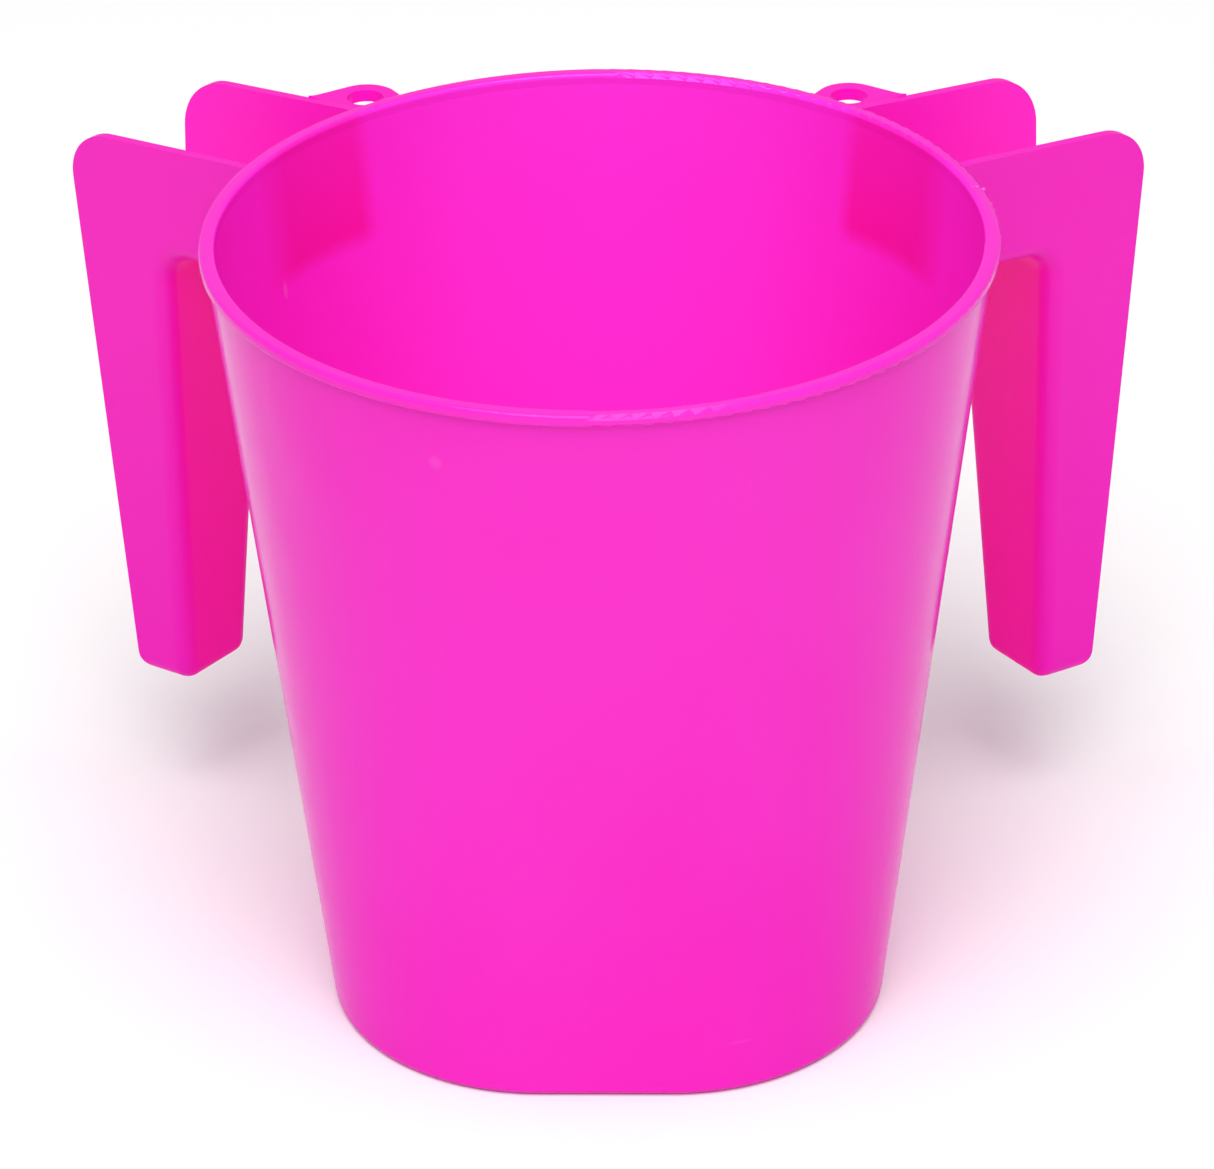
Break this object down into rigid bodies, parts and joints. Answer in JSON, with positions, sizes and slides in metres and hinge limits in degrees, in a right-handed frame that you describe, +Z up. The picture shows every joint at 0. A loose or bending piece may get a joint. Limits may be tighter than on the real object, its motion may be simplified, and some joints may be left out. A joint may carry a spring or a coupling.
{
  "type": "two-handled bucket",
  "caption": "Small tapered plastic bucket, square-cornered at the base and round at the rim, with hanging channel handles and eyelets swept to the back.",
  "frame": {"origin": "centre of the flat underside, on the bucket's axis", "axes": "+Z up out of the open mouth, -Y towards the plain front, +X towards the right handle; both handles are swept back towards +Y"},
  "size_m": [0.1916, 0.1432, 0.143],
  "materials": {
    "pink_plastic": "satin, slightly translucent hot-pink polypropylene"
  },
  "bodies": {
    "root": {"bucket_wall": "pink_plastic", "base_floor": "pink_plastic", "rim_lip": "pink_plastic", "left_handle": "pink_plastic", "right_handle": "pink_plastic", "left_eyelet": "pink_plastic", "right_eyelet": "pink_plastic"}
  },
  "joints": []
}
